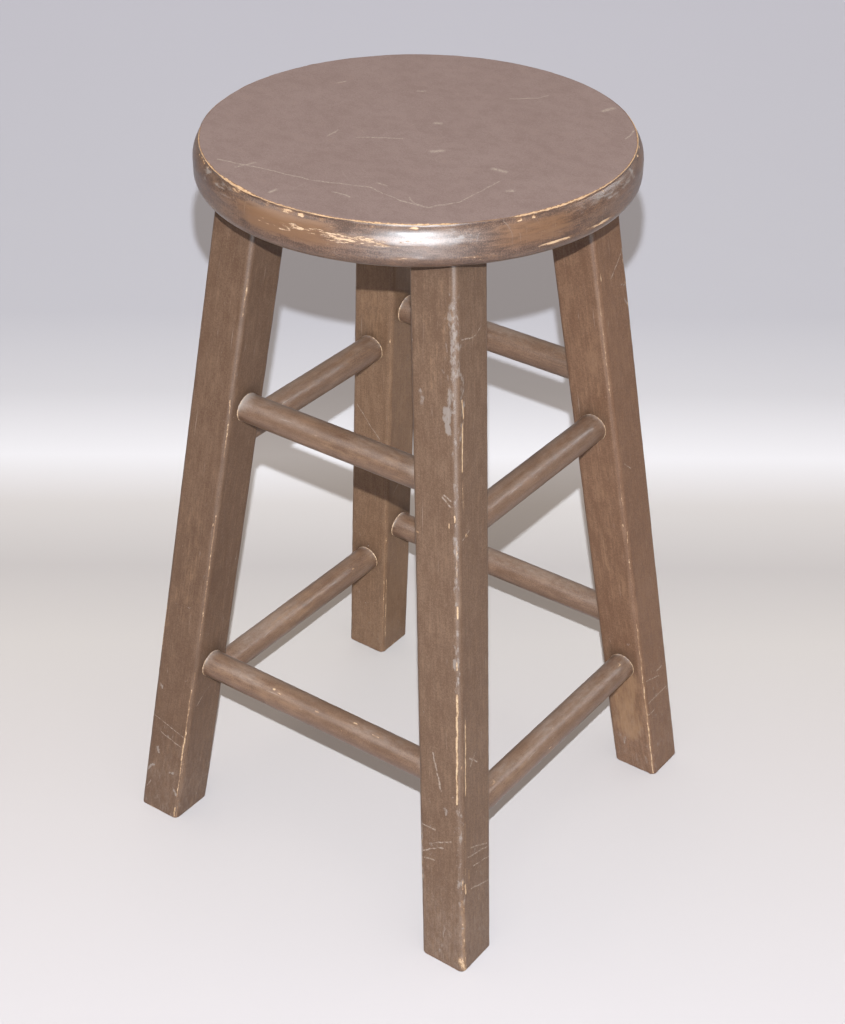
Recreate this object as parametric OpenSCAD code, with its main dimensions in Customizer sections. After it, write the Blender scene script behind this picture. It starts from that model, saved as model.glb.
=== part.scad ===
// Round-topped wooden stool on four splayed square legs, tied together by two tiers of
// round rungs. The origin is on the floor, at the middle of the four feet. +Z is up, the
// front is -Y and the right is +X.

/* [Seat] */
// Height of the seat's top above the floor
stool_h = 615; // [540:1:760]
// Diameter of the seat at its widest line
seat_d = 330; // [320:2:400]
// Thickness of the seat board
seat_t = 33; // [30:1:40]
// How far the worn top edge lies inside the widest line
top_edge_inset = 4.6; // [4:0.1:6]
// Radius of the round under the top edge
upper_round = 17; // [15:0.5:20]
// Depth of the widest line below the top
widest_depth = 14; // [13:0.5:16]
// Radius of the round into the underside
lower_round = 10; // [4:0.5:12]

/* [Legs] */
// Side of the square leg stock
leg_w = 41; // [36:1:44]
// Radius of the leg's long corners
leg_corner_r = 4.5; // [1:0.5:8]
// Lean of each leg outwards, as seen from the front and from the side, in degrees
leg_splay = 6.5; // [4:0.5:8]
// Distance from the middle of the seat to a leg's centre under the seat, along X
leg_top_x = 86.5; // [78:0.5:88]
// Distance from the middle of the seat to a leg's centre under the seat, along Y
leg_top_y = 83.5; // [76:0.5:86]

/* [Rungs] */
// Diameter of a rung
rung_d = 23.5; // [18:0.5:26]
// Depth of a rung's blind socket in the leg's inner face
rung_socket = 24; // [16:1:30]
// Height of the front and rear rungs of the upper tier
upper_x_rung_z = 401; // [395:1:440]
// Height of the left and right rungs of the upper tier
upper_y_rung_z = 362; // [330:1:368]
// Height of the front and rear rungs of the lower tier
lower_x_rung_z = 157; // [151:1:200]
// Height of the left and right rungs of the lower tier
lower_y_rung_z = 118; // [80:1:124]

/* [Seat pins] */
// Diameter of the hidden wooden pin between a leg and the seat
pin_d = 16; // [10:1:20]
// Length of the hidden wooden pin
pin_len = 44; // [30:2:46]

/* [Hidden] */
$fn = 64;

LEFT = -1;
RIGHT = 1;
FRONT = -1;
REAR = 1;

glue_gap = 0.05;        // radial room for glue around a rung end or a pin
end_room = 1;           // air left at the blind end of a hole
rung_chamfer = 1.5;     // bevel on a rung's hidden ends
pin_chamfer = 1.5;      // bevel on a pin's ends
overlap = 1;            // how far one outline reaches into the next, so that they join

seat_r = seat_d / 2;
top_edge_r = seat_r - top_edge_inset;
underside_z = stool_h - seat_t;
lean = atan(sqrt(2) * tan(leg_splay));  // true lean of a leg, in its diagonal plane
leg_stock_len = stool_h / cos(lean) + leg_w;
rung_r = rung_d / 2;
pin_r = pin_d / 2;
floor_span = 4 * seat_d;

// A leg's centre line at height z, as a distance from the middle of the stool
function leg_x(z) = leg_top_x + (underside_z - z) * tan(leg_splay);
function leg_y(z) = leg_top_y + (underside_z - z) * tan(leg_splay);

// The reach of a rung or a socket: past a leg's inner face by the given depth
function reach_x(z, depth) = leg_x(z) - leg_w / 2 + depth;
function reach_y(z, depth) = leg_y(z) - leg_w / 2 + depth;

// Puts its children on a leg's centre line, with Z = 0 under the seat and -Z down the leg
module on_leg(side, end) {
    translate([side * leg_top_x, end * leg_top_y, underside_z])
        rotate(a = lean, v = [end, -side, 0])
            children();
}

// A round bar with bevelled ends, centred on the origin along Z
module bar(r, length, chamfer) {
    half = length / 2;
    rotate_extrude()
        polygon([
            [0, -half],
            [r - chamfer, -half],
            [r, chamfer - half],
            [r, half - chamfer],
            [r - chamfer, half],
            [0, half]
        ]);
}

// A square with rounded corners, the section of the leg stock
module leg_section() {
    flat = leg_w - 2 * leg_corner_r;
    square([leg_w, flat], center = true);
    square([flat, leg_w], center = true);
    for (x = [-1, 1], y = [-1, 1])
        translate([x * flat / 2, y * flat / 2])
            circle(r = leg_corner_r);
}

// Half of the seat's section: a flat top that ends in a small square step, a round under
// it, a short upright band and a round into the underside
module seat_section() {
    square([seat_r - lower_round, seat_t]);
    translate([0, lower_round])
        square([top_edge_r, seat_t - lower_round]);
    translate([0, lower_round])
        square([seat_r, seat_t - lower_round - widest_depth]);
    intersection() {
        translate([seat_r - lower_round, lower_round])
            circle(r = lower_round);
        translate([seat_r - lower_round - overlap, 0])
            square([lower_round + 2 * overlap, lower_round]);
    }
    intersection() {
        translate([seat_r - upper_round, seat_t - widest_depth])
            circle(r = upper_round);
        translate([top_edge_r - overlap, seat_t - widest_depth])
            square([upper_round, widest_depth]);
    }
}

// The hole for a seat pin, half in the leg and half in the seat
module pin_hole(side, end) {
    on_leg(side, end)
        cylinder(r = pin_r + glue_gap, h = pin_len + 2 * end_room, center = true);
}

// The sockets for the two rungs along X that meet a leg
module x_sockets(side, end) {
    for (z = [upper_x_rung_z, lower_x_rung_z])
        translate([0, end * leg_y(z), z])
            rotate([0, side * 90, 0])
                cylinder(r = rung_r + glue_gap, h = reach_x(z, rung_socket));
}

// The sockets for the two rungs along Y that meet a leg
module y_sockets(side, end) {
    for (z = [upper_y_rung_z, lower_y_rung_z])
        translate([side * leg_x(z), 0, z])
            rotate([-end * 90, 0, 0])
                cylinder(r = rung_r + glue_gap, h = reach_y(z, rung_socket));
}

module seat() {
    color("#5d4035")
        difference() {
            translate([0, 0, underside_z])
                rotate_extrude()
                    seat_section();
            for (side = [LEFT, RIGHT], end = [FRONT, REAR])
                pin_hole(side, end);
        }
}

// A leg is cut level at the floor and under the seat, so its ends are flat though it leans
module leg(side, end) {
    color("#513528")
        difference() {
            intersection() {
                on_leg(side, end)
                    translate([0, 0, leg_w - leg_stock_len])
                        linear_extrude(leg_stock_len)
                            leg_section();
                translate([-floor_span / 2, -floor_span / 2, 0])
                    cube([floor_span, floor_span, underside_z]);
            }
            x_sockets(side, end);
            y_sockets(side, end);
            pin_hole(side, end);
        }
}

// A rung along X between two legs, at the front or the rear
module x_rung(end, z) {
    color("#573a2c")
        translate([0, end * leg_y(z), z])
            rotate([0, 90, 0])
                bar(rung_r, 2 * reach_x(z, rung_socket - end_room), rung_chamfer);
}

// A rung along Y between two legs, at the left or the right
module y_rung(side, z) {
    color("#573a2c")
        translate([side * leg_x(z), 0, z])
            rotate([90, 0, 0])
                bar(rung_r, 2 * reach_y(z, rung_socket - end_room), rung_chamfer);
}

module seat_pin(side, end) {
    color("#c9a26b")
        on_leg(side, end)
            bar(pin_r, pin_len, pin_chamfer);
}

seat();

leg(LEFT, FRONT);  // leg_front_left
leg(RIGHT, FRONT);  // leg_front_right
leg(LEFT, REAR);  // leg_rear_left
leg(RIGHT, REAR);  // leg_rear_right

x_rung(FRONT, upper_x_rung_z);  // rung_upper_front
x_rung(REAR, upper_x_rung_z);  // rung_upper_rear
y_rung(LEFT, upper_y_rung_z);  // rung_upper_left
y_rung(RIGHT, upper_y_rung_z);  // rung_upper_right

x_rung(FRONT, lower_x_rung_z);  // rung_lower_front
x_rung(REAR, lower_x_rung_z);  // rung_lower_rear
y_rung(LEFT, lower_y_rung_z);  // rung_lower_left
y_rung(RIGHT, lower_y_rung_z);  // rung_lower_right

seat_pin(LEFT, FRONT);  // seat_pin_front_left
seat_pin(RIGHT, FRONT);  // seat_pin_front_right
seat_pin(LEFT, REAR);  // seat_pin_rear_left
seat_pin(RIGHT, REAR);  // seat_pin_rear_right
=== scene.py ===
"""Looks of the round-topped wooden stool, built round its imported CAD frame.

The stool is pale wood under dark brown paint. The paint is worn through along the edges,
chipped at the corners and the feet, scratched on the seat and rubbed pale near the joints.
Lengths are in millimetres unless a name ends in _M or a Blender property needs metres.
"""

import itertools
import math

import bpy
import numpy as np
from mathutils import Euler, Matrix, Vector


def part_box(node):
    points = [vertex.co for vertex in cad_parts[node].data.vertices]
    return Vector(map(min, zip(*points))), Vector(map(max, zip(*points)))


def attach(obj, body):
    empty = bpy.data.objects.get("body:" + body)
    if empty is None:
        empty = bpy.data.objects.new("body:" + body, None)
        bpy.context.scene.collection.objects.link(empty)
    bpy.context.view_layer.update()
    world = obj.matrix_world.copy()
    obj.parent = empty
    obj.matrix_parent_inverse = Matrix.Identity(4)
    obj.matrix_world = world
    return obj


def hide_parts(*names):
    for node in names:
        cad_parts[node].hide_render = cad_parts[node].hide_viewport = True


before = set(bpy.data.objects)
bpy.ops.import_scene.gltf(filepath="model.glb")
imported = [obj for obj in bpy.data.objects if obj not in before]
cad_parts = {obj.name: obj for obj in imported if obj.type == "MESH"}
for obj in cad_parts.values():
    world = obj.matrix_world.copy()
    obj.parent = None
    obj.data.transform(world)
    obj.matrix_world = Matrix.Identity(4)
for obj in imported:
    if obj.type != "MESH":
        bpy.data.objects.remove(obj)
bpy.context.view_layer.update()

MM = 0.001  # metres in a millimetre

# ---------------------------------------------------------------- sizes of the design
LEG_W = 41.0
LEG_CORNER_R = 4.5
LEG_HALF_FLAT = LEG_W / 2 - LEG_CORNER_R
LEG_ARC = LEG_CORNER_R * math.pi / 2
LEG_QUARTER = LEG_ARC + 2 * LEG_HALF_FLAT   # a quarter of the way round the section
SEAT_EDGE_R = 160.4      # where the flat top ends in a small step
SEAT_EDGE_SOFT = 0.7     # round on the step's edge
SEAT_UPPER_R = 17.0      # round under the step
SEAT_WIDEST_DEPTH = 14.0
SEAT_LOWER_R = 10.0      # round into the underside
RUNG_CHAMFER = 1.5
GLUE_GAP = 0.05
END_ROOM = 1.0

SIDES = {"left": -1, "right": 1}
ENDS = {"front": -1, "rear": 1}
TIERS = ("upper", "lower")

# ---------------------------------------------------------------- mesh fineness
LEG_ROW_STEP = 1.5
LEG_CORNER_STEP = 0.6
LEG_FLAT_STEP = 1.8
LEG_FINE_REACH = 7.0     # how far round the section each corner's finer columns reach
SEAT_COLUMNS = 720
RUNG_COLUMNS = 56
HOLE_COLUMNS = 64
RUNG_ROW_STEP = 1.5
SHARP_ANGLE = math.radians(38)

# ---------------------------------------------------------------- wear on the legs
# Each mark is (round, up, round, up, half width, strength). "round" is the distance round
# the leg's section from its front right corner, towards the right face; "up" is the height
# above the floor. The places of the larger marks, here and on the seat, were picked by eye on
# the photograph and turned into millimetres by a scratch program.
BARE_MARKS = {
    "front_right": (
        (5.4, 480, 7.0, 466, 0.7, 1.05),
        (6.2, 462, 4.6, 426, 0.8, 1.1),
        (5.5, 419, 5.4, 398, 0.4, 0.75),
        (-2, 394, -2, 389, 0.6, 0.8),
        (-7, 386, -7, 383, 0.6, 0.75),
        (8, 377, 10, 374, 0.8, 1.0),
        (-37, 369, -34, 369, 0.6, 0.75),
        (-1, 372, -1, 345, 0.4, 0.7),
        (-1, 322, -1, 313, 0.75, 1.1),
        (-2, 276, -2, 270, 0.6, 0.9),
        (-1.9, 249, -2.9, 155, 0.9, 0.92),
        (6, 225, 5.2, 160, 0.75, 0.86),
        (4, 140, 4.5, 90, 0.5, 0.5),
        (3.5, 81, 4.5, 73, 1.2, 0.9),
        (9, 92, 9, 66, 0.5, 0.6),
        (-38, 122, -38, 70, 1.0, 0.62),
        (1, 66, 2, 8, 2.4, 0.46),
        (-1, 12, 3, 0, 2.8, 0.68),
        (-8, 0, -22, 0, 1.0, 0.65),
    ),
    "front_left": (
        (-1.0, 415, -0.6, 403, 0.5, 0.85),
        (-1.5, 304, -1.5, 301, 0.5, 0.9),
        (-1.4, 140, -1.8, 24, 0.5, 0.70),
        (-1.2, 94, -2.4, 64, 0.8, 0.78),
        (-39, 517, -38, 456, 0.6, 0.6),
        (-38, 210, -38, 170, 0.7, 0.7),
        (-2, 12, -2, 2, 0.8, 0.85),
        (-30, 1, -12, 0, 0.8, 0.65),
    ),
    "rear_right": (
        (4, 503, 4, 497, 0.5, 0.8),
        (36, 504, 36, 501, 0.7, 0.8),
        (36, 484, 36, 482, 0.6, 0.8),
        (36, 466, 36, 463, 0.6, 0.8),
        (36, 446, 36, 442, 0.6, 0.8),
        (0.5, 170, 0.3, 100, 0.5, 0.68),
        (0.4, 102, 0.2, 2, 0.6, 0.82),
        (-38, 38, -38, 14, 0.9, 0.65),
    ),
    "rear_left": (
        (2.6, 98, 3.0, 20, 0.5, 0.75),
        (18, 3, 15, 0, 1.2, 0.8),
    ),
}
SCUFF_MARKS = {
    "front_right": (
        (-1, 556, -1, 536, 8.0, 0.46),
        (-2, 540, -2, 500, 9.0, 0.54),
        (-3, 548, -2, 504, 5.0, 0.62),
        (5.5, 500, 6.5, 468, 3.0, 0.62),
        (-4, 488, -3, 474, 4.4, 0.66),
        (3, 462, 3, 452, 3.0, 0.60),
        (-8, 471, -8, 466, 3.8, 1.25),
        (-7, 461, -7, 456, 2.5, 1.2),
        (-30, 479, -30, 471, 2.4, 0.85),
        (-1, 452, -1, 385, 3.0, 0.42),
        (-2, 376, -1, 368, 2.6, 0.62),
        (-1.5, 368, -1.8, 324, 2.2, 0.56),
        (-1.6, 312, -1.8, 252, 3.0, 0.58),
        (-4, 277, -4, 272, 1.4, 0.85),
        (-14, 145, -14, 141, 2.2, 0.80),
        (-37.5, 122, -37.5, 70, 1.3, 0.85),
        (-1, 150, 0, 60, 4.5, 0.46),
        (-28, 122, -28, 88, 8.0, 0.36),
        (22, 110, 22, 70, 9.0, 0.32),
    ),
    "front_left": (
        (-29, 66, -27, 62, 1.8, 1.1),
        (-34, 44, -31, 46, 1.1, 1.1),
        (-37, 38, -34, 43, 0.9, 1.0),
        (-12, 46, -9, 47, 1.3, 1.0),
        (-5, 30, -3, 26, 1.3, 1.1),
        (-32, 28, -36, 20, 0.8, 0.9),
        (-34, 132, -32, 128, 1.5, 0.8),
        (-20, 90, -20, 80, 8.0, 0.34),
    ),
    "rear_right": (
        (-12, 144, -2, 152, 1.4, 0.55),
        (18, 110, 20, 70, 8.0, 0.34),
        (36, 512, 37, 500, 1.3, 0.9),
        (30, 484, 37, 481, 0.7, 0.9),
        (33, 470, 36, 463, 0.7, 0.9),
        (37, 448, 37, 440, 1.0, 0.8),
    ),
    "rear_left": ((-4, 262, -6, 265, 1.0, 0.5),),
}
# Where the paint is thinner and the wood glows through, as marks. On the legs' front faces they also
# paint a warm glow of reflected light, most strongly low on the rear right leg
THIN_PAINT_AND_GLOW_MARKS = {
    "front_right": ((-14, 560, -16, 500, 16.0, 0.12),),
    "front_left": ((-20, 300, -20, 220, 14.0, 0.15),),
    "rear_right": ((-20, 100, -20, 50, 17.0, 0.60), (-20, 500, -20, 200, 17.0, 0.14)),
    "rear_left": ((-20, 470, -20, 380, 15.0, 0.20),),
}
# How strongly each leg's long corners are rubbed through
CORNER_LINES = {"front_right": 0.12, "front_left": 0.42, "rear_right": 0.42, "rear_left": 0.46}
# Each scratch is (round, up, round, up, half width), on one face
LEG_SCRATCHES = {
    "front_right": (
        (6, 524, 20, 520, 0.35),
        (20, 520, 36, 526, 0.3),
        (-12, 405, -6, 400, 0.6),
        (-11, 407, -5, 404, 0.45),
        (5, 373, 13, 377, 0.35),
        (-25, 190, -19, 166, 0.5),
        (-19, 166, -18, 160, 0.7),
        (11, 190, 21, 181, 0.45),
        (12, 182, 19, 190, 0.4),
        (-36, 122, -24, 122, 0.5),
        (-30, 107, -9, 118, 0.45),
        (-36, 98, -17, 109, 0.5),
        (-35, 92, -26, 94, 0.5),
        (8, 103, 36, 96, 0.45),
        (11, 110, 34, 100, 0.4),
        (12, 72, 36, 64, 0.5),
        (15, 91, 36, 86, 0.4),
    ),
    "front_left": (
        (-37, 98, -3, 89, 0.4),
        (-27, 83, -5, 78, 0.4),
        (6, 120, 20, 131, 0.3),
    ),
    "rear_right": (
        (17, 494, 34, 509, 0.4),
        (21, 107, 30, 108, 0.6),
        (4, 82, 34, 82, 0.45),
        (3, 69, 11, 70, 0.5),
        (4, 106, 24, 100, 0.35),
        (8, 330, 16, 322, 0.3),
    ),
    "rear_left": (
        (-34, 295, -5, 260, 0.35),
        (9, 200, 24, 214, 0.3),
    ),
}
RANDOM_NICKS = 14        # small bare nicks along each leg's four corners
RANDOM_RUBS = 34         # short pale rubs on each leg's faces
MARKS_TOP = 560          # the highest of these, above the floor

# ---------------------------------------------------------------- wear on the rungs
JOINT_REACH = 9.0        # how far dust and grime reach from a joint before they fade
RUNG_DUST = {"upper_front": 0.85, "lower_front": 0.5}   # at the joints, where it isn't usual
USUAL_DUST = 0.4
# Each nick is (distance along the rung from its middle, turn from its top in degrees, half
# length)
RUNG_NICKS = {
    "lower_front": ((-41, 30, 1.2), (4, 40, 1.5), (40, 15, 1.8), (62, 25, 2.5)),
    "lower_rear": ((-60, -60, 1.5), (-52, -40, 0.8)),
    "upper_left": ((-10, -50, 0.8),),
}

# ---------------------------------------------------------------- wear on the seat
# Each scratch is (x, y, x, y, half width) on the flat top
SEAT_SCRATCHES = (
    (-83, -127, -50, -121, 0.35),
    (-50, -121, -5, -115, 0.3),
    (-5, -115, 32, -101, 0.3),
    (32, -101, 62, -106, 0.25),
    (62, -106, 83, -105, 0.35),
    (-64, -130, -58, -115, 0.4),
    (-17, -149, -17, -143, 0.6),
    (-47, -48, -48, -33, 0.3),
    (-29, -36, -1, -18, 0.3),
    (-107, 40, -104, 47, 0.4),
    (32, -92, 40, -92, 0.4),
    (16, -122, 31, -122, 0.35),
    (-47, 64, -43, 67, 0.5),
    (1, 20, 4, 22, 0.8),
    (30, -24, 35, -19, 0.9),
    (82, -24, 92, -23, 0.9),
    (112, -49, 114, -47, 0.8),
    (64, -98, 72, -104, 0.3),
    (72, -104, 84, -104, 0.35),
    (84, -104, 96, -83, 0.3),
    (96, -83, 98, -39, 0.22),
    (18, 93, 34, 107, 0.3),
    (34, 107, 37, 116, 0.3),
    (88, 115, 90, 124, 0.9),
    (129, 79, 126, 96, 0.35),
)
# Worn stretches of the seat's rim: (from angle, to angle, strength), in degrees round the
# seat from the right, anticlockwise seen from above
TOP_EDGE_WEAR = (
    (-146, -44, 0.95),
    (-42, -33, 0.45),
    (-31, -4, 1.0),
    (-4, 50, 0.9),
    (135, 205, 0.75),
)
TOP_EDGE_WIDE = ((-112, -101, 1.0), (-29, -8, 0.5), (30, 46, 0.6))
GIRTH_WEAR = ((-96, -60, 1.0), (-60, -50, 0.8), (-47, -36, 0.5), (118, 150, 0.5))
LOWER_LINE_WEAR = ((-61, -54, 0.9), (-44, -38, 0.7), (-24, -14, 0.95), (-10, 2, 0.9), (70, 95, 0.6))
THIN_PAINT = ((-102, -74, 0.85), (-36, -14, 0.7), (20, 60, 0.5), (140, 180, 0.6))
# Pale rubs on the rim; besides real rubbing they paint a highlight where the rim catches the light
RIM_RUBS_AND_SHEEN = ((-124, -103, 1.0), (-50, -40, 0.9), (-14, 18, 1.0), (100, 118, 0.6))

# ---------------------------------------------------------------- colours, linear
# The seat's flat top is paler and greyer than its rim: partly dust and wear, partly a painted sheen of
# the bright surroundings, as its matt gloss hardly reflects
SEAT_TOP_TONES_WITH_SHEEN = ((0.188, 0.133, 0.119), (0.212, 0.153, 0.138), (0.236, 0.174, 0.158))
RIM_TONES = ((0.054, 0.027, 0.017), (0.098, 0.052, 0.033), (0.160, 0.092, 0.060))
LEG_TONES = ((0.096, 0.051, 0.030), (0.117, 0.066, 0.040), (0.143, 0.084, 0.053))
RUNG_TONES = ((0.098, 0.052, 0.031), (0.127, 0.071, 0.043), (0.163, 0.095, 0.061))
# How much paler or darker than the others each leg is, partly in its paint and partly as painted light:
# the rear right leg is made warmer and paler for the warm light reflected onto it
LEG_SHADES = {
    "front_right": (1.08, 1.12, 1.14),
    "front_left": (0.92, 0.91, 0.89),
    "rear_right": (1.17, 1.08, 1.00),
    "rear_left": (1.22, 1.22, 1.14),
}
# How dusty each leg is near the floor
LEG_HAZE = {"front_right": 0.29, "front_left": 0.26, "rear_right": 0.25, "rear_left": 0.16}
SEAT_THIN_TONE = (0.170, 0.084, 0.040)
# Thin paint on the legs, which is also the colour of the painted warm glow on their front faces
LEG_THIN_AND_GLOW_TONE = (0.230, 0.130, 0.068)
SEAT_WOOD_TONES = ((0.40, 0.235, 0.120), (0.50, 0.315, 0.175), (0.60, 0.420, 0.265))
LEG_WOOD_TONES = ((0.34, 0.210, 0.115), (0.44, 0.295, 0.175), (0.54, 0.395, 0.260))
PIN_TONES = ((0.50, 0.33, 0.18), (0.58, 0.40, 0.24), (0.66, 0.48, 0.31))
SEAT_WORN = (SEAT_THIN_TONE, SEAT_WOOD_TONES)
LEG_WORN_AND_GLOW = (LEG_THIN_AND_GLOW_TONE, LEG_WOOD_TONES)
# Colour of pale rubs, also used for the painted highlight on the seat's rim
RUB_AND_SHEEN_TONE = (0.255, 0.215, 0.190, 1)
# Colour of the grime round the joints, also used for the painted shade on the legs' tops under the seat
GRIME_AND_SHADE_TONE = (0.055, 0.028, 0.015, 1)
DUST_TONE = (0.290, 0.235, 0.200, 1)
SCRATCH_TONE = (0.370, 0.305, 0.255, 1)
# Roughness and strength of the gloss of sound paint
RIM_GLOSS = (0.36, 0.60)
LEG_GLOSS = (0.50, 0.22)
RUNG_GLOSS = (0.38, 0.50)
MATT_GLOSS = (0.60, 0.02)   # the seat's flat top
SCRATCH_FADE = 2.6       # half widths from a scratch's middle to where it fades out
SEAT_SCRATCH_WIDTH = 1.5     # how much wider the scratches are than their half widths say
LEG_SCRATCH_WIDTH = 0.8
# How each set of fine random scratches is turned, in radians
SEAT_TURNS = ((0, 0, 0.35), (0, 0, 1.5), (0, 0, 2.5))
LEG_TURNS = ((0, 0.5, 0.8), (0, -1.2, 0.8))
RUNG_TURNS = ((0, 1.3, 0.4),)

# ---------------------------------------------------------------- depth of the wear
LEG_WAVE, LEG_RIPPLE = 0.06, 0.03       # long and short unevenness of the surface
LEG_CHIP_DEPTH = 0.35
LEG_CORNER_WEAR = 0.16
RUNG_WAVE, RUNG_RIPPLE = 0.07, 0.03
RUNG_NICK_DEPTH = 0.25
BEAD_HEIGHT = 0.55                      # of the paint where a rung enters a leg
SEAT_WAVE, RIM_WAVE = 0.05, 0.05
SEAT_CHIP_DEPTH = 0.20
SEAT_EDGE_WEAR = 0.28
# First seeds of the random fields
SEAT_SEED, LEG_SEED, RUNG_SEED = 10, 100, 300
SEED_STEP = 10                          # from one leg or rung to the next

# ---------------------------------------------------------------- view, light and floor
VIEW_AZIMUTH = math.radians(36.06)
VIEW_ELEVATION = math.radians(33.02)
VIEW_ROLL = math.radians(0.35)
VIEW_DISTANCE = 1634.5
VIEW_TARGET = np.array([-2.9, -2.1, 283.3])
VIEW_LENS = 70.0
SENSOR_WIDTH = 36.0
CLIP_END_M = 1000.0
VIEW_SHIFT = 0.0111
KEY_RISE = 88.0          # how far the key lamp stands above the camera
KEY_SIZE_M = 0.012
KEY_POWER = 18.4
KEY_COLOUR = (0.86, 0.93, 1.0)
PANEL_DISTANCE = 2200.0
# Panels that only reflect in the gloss: (azimuth, elevation, size in metres, power)
PANELS = (
    (36.0, 6.0, 1.3, 34.0),
    (-36.0, 38.0, 1.4, 3.0),
    (144.0, 30.0, 0.35, 1.6),
)
# The sky's colour to the left and the right of the camera, and its power at two heights
SKY_LEFT = (1.0, 0.86, 0.70)
SKY_RIGHT = (0.98, 0.96, 0.96)
SKY_POWER_LEVEL = 0.35   # at the horizon
SKY_POWER_ABOVE = 1.06   # straight above
FLOOR_SIZE = 800000.0

# Tone of the studio floor by the distance behind the stool, along the camera's line. These
# were first measured on the photograph's background by a scratch program, then scaled by hand.
# Painted light and shade: a painted band of light about 550 mm behind the stool, where a backdrop would
# curve up towards the lamp, and painted shade just before it and farther off
FLOOR_LIGHT_AND_SHADE_TONES = (
    (-280, (0.462, 0.433, 0.438)),
    (40, (0.425, 0.393, 0.385)),
    (200, (0.412, 0.382, 0.366)),
    (330, (0.360, 0.335, 0.327)),
    (450, (0.432, 0.405, 0.395)),
    (550, (0.552, 0.538, 0.553)),
    (700, (0.428, 0.416, 0.434)),
    (900, (0.370, 0.362, 0.390)),
    (2060, (0.410, 0.405, 0.450)),
)


# ================================================================ small tools
def node_box(name):
    """The lowest and highest corner of a CAD node, in millimetres."""
    low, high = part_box(name)
    return np.array(low) / MM, np.array(high) / MM


def smooth(value, low, high):
    """0 below low, 1 above high, and an even S-curve between."""
    t = np.clip((value - low) / (high - low), 0, 1)
    return t * t * (3 - 2 * t)


def random_field(points, cell, seed):
    """A smooth random field from -1 to 1 over points, with one random value per cell."""
    size = 32
    lattice = np.random.default_rng(seed).uniform(-1, 1, (size, size, size))
    place = np.asarray(points) / np.asarray(cell, float)
    base = np.floor(place).astype(int)
    part = place - base
    part = part * part * (3 - 2 * part)
    total = np.zeros(len(place))
    for corner in itertools.product((0, 1), repeat=3):
        index = (base + corner) % size
        weight = np.where(corner, part, 1 - part).prod(axis=1)
        total += weight * lattice[index[:, 0], index[:, 1], index[:, 2]]
    return total


def near_segment(points, start, stop):
    """The distance from each 2-D point to a straight segment."""
    start, stop = np.asarray(start, float), np.asarray(stop, float)
    along = stop - start
    share = np.clip((points - start) @ along / max(along @ along, 1e-9), 0, 1)
    return np.linalg.norm(points - start - share[:, None] * along, axis=1)


def tube_faces(rows, columns):
    """Quads between neighbouring rings of a tube, wound for an outward normal when the
    rings run anticlockwise and each ring lies above the next."""
    ring = np.arange(columns)
    nxt = (ring + 1) % columns
    faces = []
    for row in range(rows - 1):
        upper, lower = row * columns, (row + 1) * columns
        faces.append(np.column_stack([lower + ring, lower + nxt, upper + nxt, upper + ring]))
    return np.concatenate(faces).tolist()


def make_mesh(name, points, faces):
    """A linked mesh object from points in millimetres."""
    mesh = bpy.data.meshes.new(name)
    mesh.from_pydata((np.asarray(points) * MM).tolist(), [], faces)
    mesh.validate()
    piece = bpy.data.objects.new(name, mesh)
    bpy.context.scene.collection.objects.link(piece)
    return piece


def mesh_points(piece):
    """The vertices of a piece, in millimetres."""
    flat = np.empty(len(piece.data.vertices) * 3)
    piece.data.vertices.foreach_get("co", flat)
    return flat.reshape(-1, 3) / MM


def set_points(piece, points):
    piece.data.vertices.foreach_set("co", (np.asarray(points) * MM).ravel())
    piece.data.update()


def store(piece, **fields):
    """Stores one number or one vector at each vertex under each name, for the material."""
    for name, values in fields.items():
        values = np.asarray(values, float)
        kind, field = ("FLOAT", "value") if values.ndim == 1 else ("FLOAT_VECTOR", "vector")
        layer = piece.data.attributes.new(name, kind, "POINT")
        layer.data.foreach_set(field, values.ravel())


def closed_bar(points, columns):
    """Faces of a closed tube: its sides and a flat end on each end ring."""
    rows = len(points) // columns
    first = list(range(columns))
    last = [(rows - 1) * columns + i for i in reversed(range(columns))]
    return tube_faces(rows, columns) + [first, last]


def ring_points(centre, across, over, radius, columns):
    """A ring of points about centre, in the plane of two unit vectors."""
    turn = np.linspace(0, 2 * math.pi, columns, endpoint=False)
    return centre + radius * (np.outer(np.cos(turn), across) + np.outer(np.sin(turn), over))


def drill(piece, holes):
    """Cuts round blind holes into a piece. Each hole is (mouth, end, radius)."""
    columns = HOLE_COLUMNS
    points, faces = [], []
    for mouth, end, radius in holes:
        mouth, end = np.asarray(mouth, float), np.asarray(end, float)
        down = (end - mouth) / np.linalg.norm(end - mouth)
        across = np.cross(down, (0.31, 0.87, 0.38))
        across /= np.linalg.norm(across)
        over = np.cross(-down, across)
        both = [ring_points(at, across, over, radius, columns) for at in (mouth, end)]
        offset = len(points) * columns
        points += both
        faces += [[i + offset for i in face] for face in closed_bar(np.vstack(both), columns)]
    cutter = make_mesh("cutter", np.vstack(points), faces)
    cut = piece.modifiers.new("holes", "BOOLEAN")
    cut.operation = "DIFFERENCE"
    cut.solver = "EXACT"
    cut.object = cutter
    graph = bpy.context.evaluated_depsgraph_get()
    drilled = bpy.data.meshes.new_from_object(piece.evaluated_get(graph))
    piece.modifiers.clear()
    piece.data = drilled
    bpy.data.meshes.remove(cutter.data)


def finish_piece(piece, node, material):
    """Shades a piece, and sets it in place of its CAD node."""
    piece.data.materials.clear()
    piece.data.materials.append(material)
    piece.data.polygons.foreach_set("use_smooth", np.ones(len(piece.data.polygons), bool))
    piece.data.set_sharp_from_angle(angle=SHARP_ANGLE)
    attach(piece, "root")
    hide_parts(node)


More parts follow.
